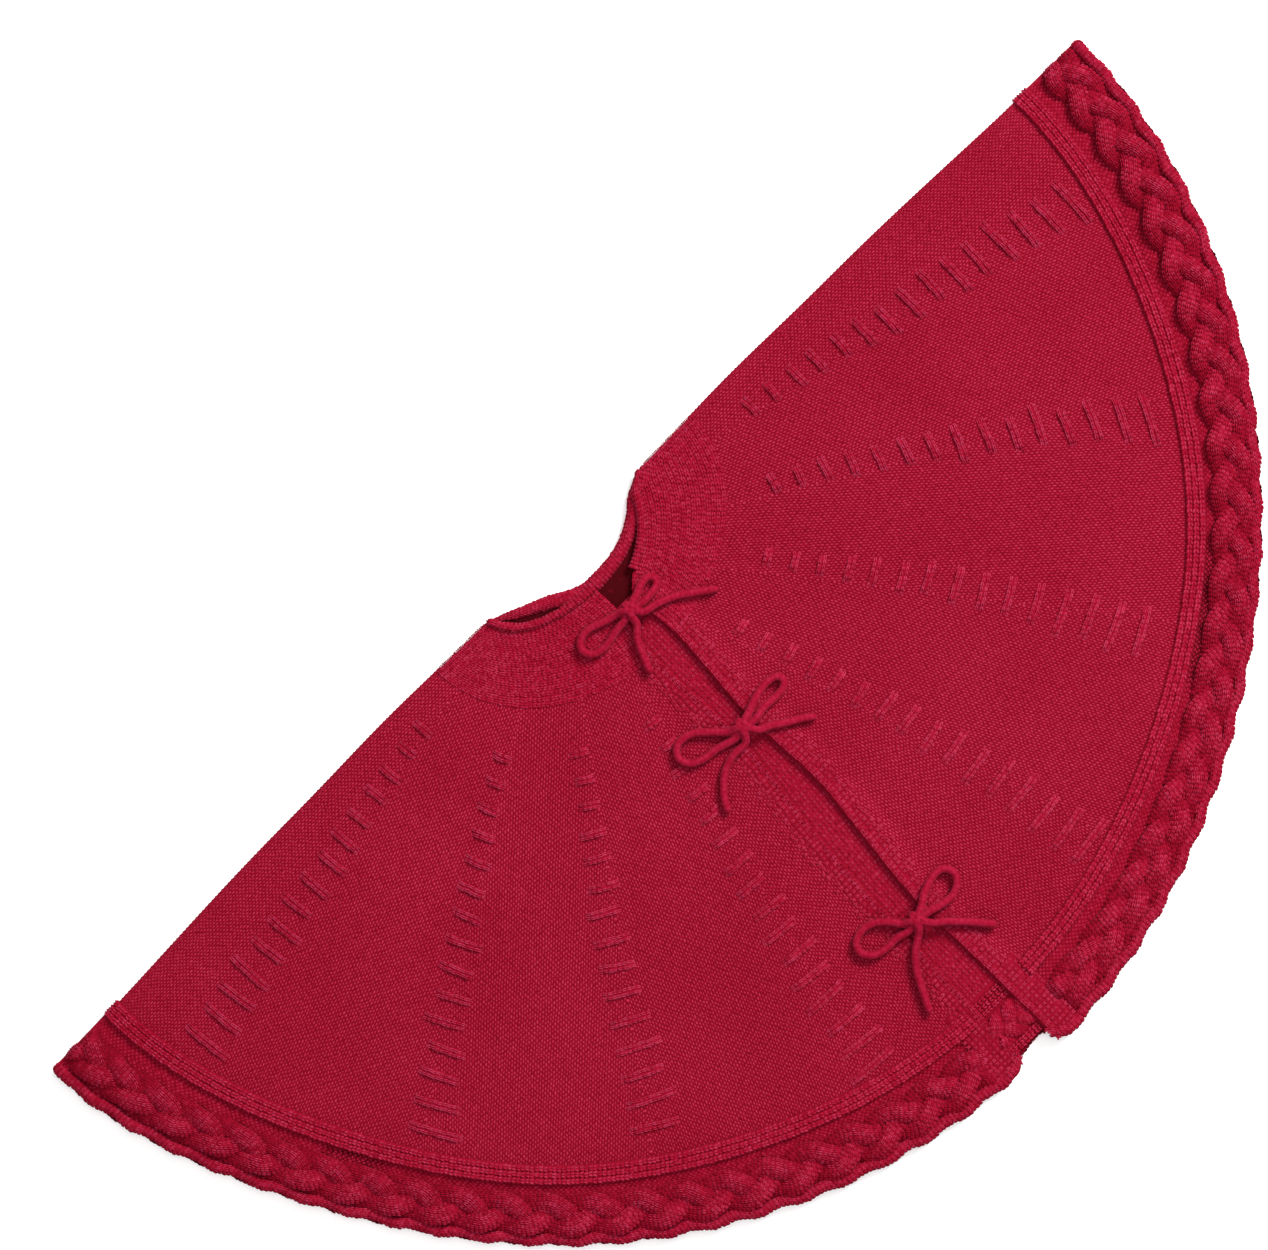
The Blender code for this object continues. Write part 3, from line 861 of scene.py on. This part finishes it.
def moss_fold(side, part):
    """Moss stitch over the fold's turn, from the collar to the rib band."""
    x0 = value_at(collar_r(side), 0.0) - 0.003
    x1 = value_at(furrow_r(side), 0.0) - RIB_W + 0.003
    i = np.arange(int(x0 / MOSS_ROW), int(x1 / MOSS_ROW) + 1)[:, None]
    j = np.arange(0, 7)[None, :]
    phi = 0.5 * np.pi - np.pi * j / 6 + 0.0 * i
    sign = np.where((i + j) % 2, 1.0, -1.0)
    h = CLOTH_H - 0.0002 + MOSS_RELIEF * sign * 0.9
    x = SIGN[side] * i * MOSS_ROW + 0.0 * phi
    points, _ = round_fold(x, phi, 0.8 * h + 0.0005, h)
    # Raised bumps get a painted highlight and the hollows painted shade.
    return grids_to_object(name_of(side, part, "moss"), [(points, 0.5 + 0.5 * sign, UP)])


def purl_sheet(side, part, inner, outer, h, columns, margin, relief_h, step=0.0022,
               reach=None, tone=0.16):
    """Sheet of small purl bumps between two polar curves, painted dark in the hollows and paler,
    by tone, on the bumps (painted shade and highlight).
    """
    lines = [ring(side, part, lambda a, t=k / (columns - 1): inner(a) + (outer(a) - inner(a)) * t,
                  h, margin, step, reach) for k in range(columns)]
    n = min(len(line.points) for line in lines)
    grid = np.stack([line.points[np.linspace(0, len(line.points) - 1, n).round().astype(int)]
                     for line in lines], 1)
    sign = np.where((np.arange(n)[:, None] + np.arange(columns)[None, :]) % 2, 1.0, -1.0)
    if part == "roll":
        return grid, tone + tone * sign, (0, 1, 0)
    grid[..., 2] += OUT[part] * relief_h * sign
    return grid, tone + tone * sign, (0, 0, OUT[part])


def rib_band(side, part):
    """Three raised knit wales between the moss panel and the furrow."""
    edge = furrow_r(side)
    margin = (0.011 if side == "left" else 0.026) if part == "front" else 0.0
    lines = [ring(side, part, lambda a, b=back: edge(a) - b, RIB_H, margin)
             for back in (0.003, 0.0083, 0.0136)]
    grids = [ridge(line, 0.0031, 0.0024, 0.0024, 7, 0.45) for line in lines]
    wales = [on_crown(line, 0.0, 0.0031, 0.0021) for line in lines]
    return knitted(name_of(side, part, "rib_wales"), grids, wales, (0.0038, 0.0058, 0.0017),
                   seed=3, soft=0.22)


def braid_half(side):
    """Half width of the braid at an angle, and half the room that its border leaves it."""
    hem, furrow = hem_r(side, "front"), furrow_r(side)
    room = lambda a: 0.5 * (hem(a) - scallops(side, "front", a) - 0.0045 - furrow(a) - 0.0045)
    return lambda a: np.clip(room(a), 0.0155, 0.019), room


def strand_line(side, part, k):
    """Path of one of the three strands, and its half width and rise along it."""
    s = SIGN[side]
    half, room = braid_half(side)
    hem = hem_r(side, part)
    start = 2 * np.pi * k / 3 + (0.4 if side == "left" else 1.5)
    level, swing, crest = ((0.003, 0.0027, 0.0042) if part == "front"
                           else (0.0026, 0.0018, 0.0033))

    def turn(length):
        return 2 * np.pi * length / BRAID_REPEAT + start

    def middle(a):
        return hem(a) - 0.0048 - half(a) - 0.7 * np.maximum(room(a) - half(a), 0.0)

    def height(theta):
        return level + swing * s * np.sin(2 * theta)

    if part == "roll":
        phi = np.linspace(0.5 * np.pi, -0.5 * np.pi, 17)
        theta = turn(BRAID_FOLD_REACH * phi / (0.5 * np.pi))
        w = value_at(half, 0.0)
        h = height(theta)
        points, out = round_fold(s * (value_at(middle, 0.0) + 0.56 * w * np.sin(theta)), phi,
                                 0.6 * h, h)
        points[:, 1] -= 0.001
        across = same((s, 0.0, 0.0), len(phi))
        half_w, rise, away = 0.42 * w + 0 * phi, crest + 0 * phi, 0.0 * phi
    else:
        a = np.arange(0.0, 1.75, 0.0042)
        run = HEM_R * a * 0.97
        theta = turn(OUT[part] * (run + BRAID_FOLD_REACH))
        w = half(a)
        r = middle(a) + 0.56 * w * np.sin(theta)
        x, depth = s * r * np.cos(a), r * np.sin(a)
        margin = BAND_W - 0.002 if part == "front" else 0.0
        stop = int(np.argmax(slit_gap(side, part, x, depth) < margin)) or len(a)
        a, run, theta, w, x, depth = (v[:stop] for v in (a, run, theta, w, x, depth))
        end = smooth((run[-1] - run) / 0.01) if part == "front" else np.ones(len(run))
        points = settle(side, part, x, depth, height(theta) * (0.35 + 0.65 * end))
        out = same((0.0, 0.0, OUT[part]), len(a))
        across = np.stack([s * np.cos(a), -np.sin(a), 0 * a], -1)
        half_w, rise, away = 0.42 * w, crest * (0.4 + 0.6 * end), smooth(run / 0.016)
    square = np.cross(out, unit(np.gradient(points, axis=0)))
    square *= np.sign(np.sum(square * across, axis=1))[:, None]
    square = unit(across + (unit(square) - across) * away[:, None])
    # Shade: strands are painted paler where they cross over and darker where they pass under.
    return Line(points, out, square, 0.8 + 0.36 * s * np.sin(2 * theta)), half_w, rise


def braid(side, part):
    """Three plaited strands of knit wales on a purl ground."""
    hem, furrow = hem_r(side, part), furrow_r(side)
    margin = ROWS_W - 0.001 if part == "front" else 0.0
    grids = [purl_sheet(side, part, lambda a: furrow(a) - 0.0015,
                        lambda a: hem(a) - HEM_W + 0.002, FURROW_H, 24, margin, 0.0008,
                        reach=0.0045, tone=0.42)]
    wales = []
    for k in range(3):
        line, half, rise = strand_line(side, part, k)
        grids.append(ridge(line, half, rise, 0.003, 9, 0.45))
        wales += [on_crown(line, q, half, rise) for q in (-0.84, -0.45, 0.0, 0.45, 0.84)]
    return knitted(name_of(side, part, "plait"), grids, wales, (0.0038, 0.0038, 0.0016),
                   seed=5, soft=0.04)


def hem_edge(side, part):
    """Rolled selvedge: a round edge with tight wales."""
    hem = hem_r(side, part)
    line = ring(side, part, lambda a: hem(a) - 0.5 * HEM_W + 0.0005, HEM_H,
                0.0005 if part == "front" else 0.0)
    half, rise = 0.5 * HEM_W, 0.0038
    wales = [on_crown(line, q, half, rise) for q in (-0.62, -0.05, 0.52, 0.93)]
    return knitted(name_of(side, part, "hem_roll"), [ridge(line, half, rise, HEM_H, 9, 0.4)],
                   wales, (0.0038, 0.0036, 0.0012), seed=7, soft=0.2)


def collar(side, part):
    """Collar of concentric knit wales round the neck."""
    inner, outer = neck_r(side, part, NECK_W), collar_r(side)
    count = 16
    margin = 0.003 if part == "front" else 0.0
    sheet = purl_sheet(side, part, lambda a: inner(a) - 0.002, outer, COLLAR_H - 0.0004, 18,
                       0.3 * margin, 0.0002, 0.004)
    wales = [ring(side, part,
                  lambda a, t=(k + 0.5) / count: inner(a) + (outer(a) - inner(a)) * t,
                  COLLAR_H - 0.0003, margin) for k in range(count)]
    return knitted(name_of(side, part, "collar_rounds"), [sheet], wales,
                   (0.0036, 0.0046, 0.0012), seed=9, soft=0.5)


def round_edge(line, radius, wales):
    """Tube along a line, with stitch wales all round it."""
    turn = np.linspace(0.0, 2 * np.pi, 13)
    radius = np.reshape(radius, (-1, 1))
    grid = np.stack([line.points + line.across * radius * math.cos(t)
                     + line.out * radius * math.sin(t) for t in turn], 1)
    lines = []
    for k in range(wales):
        t = 2 * np.pi * k / wales
        out = line.across * math.cos(t) + line.out * math.sin(t)
        lines.append(Line(line.points + out * radius * 0.9, out, line.across, 0.95))
    return grid, lines


def neck_edge(side, part):
    """Rolled edge of the neck opening, thickest at the back."""
    edge, shift = neck_r(side, part, 0.5 * NECK_W), 0.0026 if part == "back" else 0.0
    radius, h, wales = {"front": (0.0036, 0.004, 8), "back": (0.0066, 0.0024, 12),
                        "roll": (0.0026, 0.0032, 8)}[part]
    line = ring(side, part, lambda a: edge(a) + shift * smooth(a / 0.25), h,
                0.002 if part == "front" else 0.0, 0.002, reach=0.0004)
    if part != "roll":
        t = np.linspace(0.0, 1.0, len(line.points))
        radius = 0.0028 + (radius - 0.0028) * smooth(t / 0.12)
    grid, lines = round_edge(line, radius, wales)
    # The tube under the wales carries a low relief of 0.25: painted shade between the stitches.
    return knitted(name_of(side, part, "neck_roll"),
                   [(grid, 0.25, line.out[len(line.out) // 2])], lines,
                   (0.0034, 0.0038, 0.0012), seed=11, soft=0.2)


def down_slit(side, offset, top, bottom, h):
    """Line beside a flap's edge, from one depth to another."""
    depth = np.linspace(top, bottom - corner_cut(offset), int((HEM_R - top) / 0.003))
    points = settle(side, "front", slit_x(side, depth) + SIGN[side] * offset, depth, h)
    return Line(points, same(UP, len(depth)), same((SIGN[side], 0.0, 0.0), len(depth)))


def front_band(side):
    """Band along a flap's edge: an edge wale and short rows square to the slit."""
    top = COLLAR_DEPTH - 0.004
    bottom = math.sqrt((HEM_R + SLIT_FLARE[side]) ** 2 - slit_x(side, HEM_R) ** 2)
    columns = (0.0, 0.0004, 0.0014, 0.003, 0.005, 0.007, 0.009, 0.011, 0.013, ROWS_W + 0.001)
    profile = (0.0008, 0.0026, 0.0036, 0.0041, 0.004, 0.0037, 0.0036, 0.0035, 0.0034, 0.0028)
    grid = np.stack([down_slit(side, c, top, bottom, h).points
                     for c, h in zip(columns, profile)], 1)
    # Tone: the three columns at the flap's edge are painted dark as a painted shadow line along
    # the edge, and the foot below is painted dark as painted shade.
    tone = np.array([0.0, 0.0, 0.0, 0.2, 0.2, 0.15, 0.15, 0.15, 0.15, 0.1])
    foot = np.stack([down_slit(side, c, 0.51, bottom, h).points for c, h in
                     ((ROWS_W, 0.003), (0.018, 0.0036), (0.022, 0.0036), (0.026, 0.0034),
                      (0.028, 0.0012))], 1)
    base = grids_to_object("band base", [(grid, tone, UP), (foot, 0.12, UP)])
    knit = lay_stitches("band edge", [down_slit(side, 0.0034, top, bottom, 0.004)], 0.0036,
                        0.004, 0.0013, seed=13)
    rows = []
    chance = np.random.default_rng(41)
    for depth in np.arange(top, bottom - 0.004, 0.0046):
        reach = 0.027 if depth > 0.514 else ROWS_W + 0.003 + 0.004 * chance.uniform(-1, 1)
        x = slit_x(side, depth) + SIGN[side] * np.linspace(0.006, reach, 8)
        # The short rows carry a shade of 1.15, a painted highlight.
        rows.append(Line(settle(side, "front", x, depth, 0.0035), same(UP, 8), None, 1.15))
    short = lay_stitches("band rows", rows, 0.0037, 0.0032, 0.0015, overlap=1.25, seed=15)
    return join(f"front_{side}_slit_band", [base, knit, short], 0.26)


def across_slit(depth, left, right, h, count=9):
    """Line across the slit at one depth, from under one flap to under the other."""
    x = np.linspace(slit_x("left", depth) - left, slit_x("right", depth) + right, count)
    return Line(np.stack([x, FOLD_Y - depth + 0 * x, h + 0 * x], -1), same(UP, count), None)


def underlap():
    """Garter strip that closes the slit from beneath, with the border's own foot."""
    top, bottom = 0.07, HEM_R - 0.0105
    depth = np.arange(top, bottom, 0.0022)[:, None]
    left, right = slit_x("left", depth) - 0.004, slit_x("right", depth) + 0.011
    x = left + (right - left) * np.linspace(0, 1, 15)[None, :]
    depth = depth + 0 * x
    foot = smooth((depth - (bottom - 0.058)) / 0.004)
    grid = np.stack([x, FOLD_Y - depth,
                     MID_Z + (UNDERLAP_H - 0.0008 + 0 * x - 0.0012 * foot)], -1)
    # The base is painted darker towards the foot: painted shade among the foot's lumps.
    base = grids_to_object("underlap base", [(grid, 0.25 - 0.25 * foot, UP)])
    rows = [across_slit(d, 0.002, 0.01, MID_Z + UNDERLAP_H - 0.0008)
            for d in np.arange(top + 0.002, bottom - 0.06, 0.0042)]
    knit = lay_stitches("underlap rows", rows, 0.0036, 0.0032, 0.0014, seed=17)
    rows = [across_slit(bottom - up, 0.002, 0.009, MID_Z + 0.0016)
            for up in (0.054, 0.049, 0.044, 0.007, 0.003)]
    ribs = lay_stitches("underlap foot", rows, 0.0036, 0.005, 0.0014, seed=19)
    strands, wales = [], []
    for k in range(3):
        line = across_slit(bottom - 0.0245, 0.003, 0.009, MID_Z + 0.0008, 40)
        theta = 2 * np.pi * (line.points[:, 0] / 0.046 + k / 3)
        line.points[:, 1] += 0.0092 * np.sin(theta)
        line.points[:, 2] += 0.0011 * np.sin(2 * theta)
        tangent = np.gradient(line.points, axis=0)
        line.across = unit(np.stack([tangent[:, 1], -tangent[:, 0], 0 * theta], -1))
        line.shade = 0.8 + 0.36 * np.sin(2 * theta)
        strands.append(ridge(line, 0.0062, 0.0026, 0.0012, 7, 0.4))
        wales += [on_crown(line, q, 0.0062, 0.0026) for q in (-0.75, -0.25, 0.25, 0.75)]
    plait = grids_to_object("underlap plait", strands)
    plait_knit = lay_stitches("underlap plait stitches", wales, 0.0034, 0.0036, 0.0009, seed=21)
    return join("front_left_underlap_strip", [base, knit, ribs, plait, plait_knit], 0.3)


def ladder_rungs(side, part):
    """Short raised wales, in pairs and steps along each line where the rows turn."""
    s, count = SIGN[side], 9
    out = same((0.0, 0.0, OUT[part]), count)
    wales, feet = [], []
    chance = np.random.default_rng(31)
    for at, lean, turn in LADDERS[side]:
        r = value_at(collar_r(side), math.radians(at)) + 0.045
        end = value_at(furrow_r(side), math.radians(at)) - RIB_W - 0.008
        while r < end:
            share = min(1.0, max(0.0, (r - 0.17) / 0.35))
            reach = 0.5 * (0.012 + 0.03 * share) * (1.0 + 0.12 * chance.uniform(-1, 1))
            u = np.linspace(-reach, reach, count)
            a = (math.radians(at - lean * (0.5 - r))
                 + (u + 0.2 * reach * chance.uniform(-1, 1)) / r)
            rr = (r - u * math.sin(math.radians(turn)) + 0.06 * u * chance.uniform(-1, 1)
                  + 0.001 * chance.uniform(-1, 1))
            ends = np.sqrt(np.clip(1.0 - (u / reach) ** 6, 0.0, 1.0))
            line = Line(settle(side, part, s * rr * np.cos(a), rr * np.sin(a),
                               CLOTH_H + 0.0004 - 0.0006 * (1 - ends)),
                        out, np.stack([s * np.cos(a), -np.sin(a), 0 * a], -1))
            feet.append(ridge(line, RUNG_HALF, RUNG_RISE * ends, 0.0012, 7, 0.35))
            for q in (-0.5, 0.5):
                wale = on_crown(line, q, RUNG_HALF, RUNG_RISE * ends)
                wale.shade = 1.35
                wales.append(wale)
            r += RUNG_STEP
    return knitted(name_of(side, part, "ladder_rungs"), feet, wales, (0.0037, 0.0034, 0.0014),
                   seed=23, soft=0.3, overlap=1.35)


def lining(side, part):
    """Inner face of the cloth, from the neck to the hem."""
    from_plane, hem = 0.00035, hem_r(side, part)
    grid, relief, _ = purl_sheet(side, part, neck_r(side, part, 0.002),
                                 lambda a: hem(a) - 0.0003, from_plane, 60,
                                 0.0015 if part == "front" else 0.0, 0.0, 0.005)
    grid[..., 2] = MID_Z + OUT[part] * from_plane
    if part == "back":
        # The back's inside near the neck is painted darker: painted shade in the hollow under the
        # neck opening.
        near_neck = np.hypot(grid[..., 0], grid[..., 1] - FOLD_Y) < 0.095
        relief = relief - 0.3 * near_neck
    return grids_to_object(name_of(side, part, "wrong_side"), [(grid, relief, (0, 0, -OUT[part]))])


# --- assembly ---

EVERYWHERE = {"rib_band": rib_band, "braid": braid, "hem": hem_edge, "collar": collar,
              "neck_edge": neck_edge}


def build():
    set_camera()
    for number, plan in BOWS.items():
        for side in SIGN:
            tie(number, plan, side)
        wrapped_knot(number)
        tie_stub(number)
    set_light()
    for side in SIGN:
        for part in ("back", "front"):
            cloth = finish(lining(side, part), side, part, material=LINING)
            pieces = [finish(moss_gores(side, part), side, part, name_of(side, part, "body"),
                             material=MOSS)]
            pieces += [finish(make(side, part), side, part, name_of(side, part, label))
                       for label, make in EVERYWHERE.items()]
            pieces.append(finish(ladder_rungs(side, part), side, part))
            if part == "front":
                pieces.append(finish(front_band(side), side, part, f"front_{side}_band"))
                if side == "left":
                    pieces.append(finish(underlap(), side, part, "front_left_underlap"))
        for make in (moss_fold, *EVERYWHERE.values()):
            finish(make(side, "roll"), side, "roll")
    bpy.data.objects.remove(STITCH, do_unlink=True)


build()
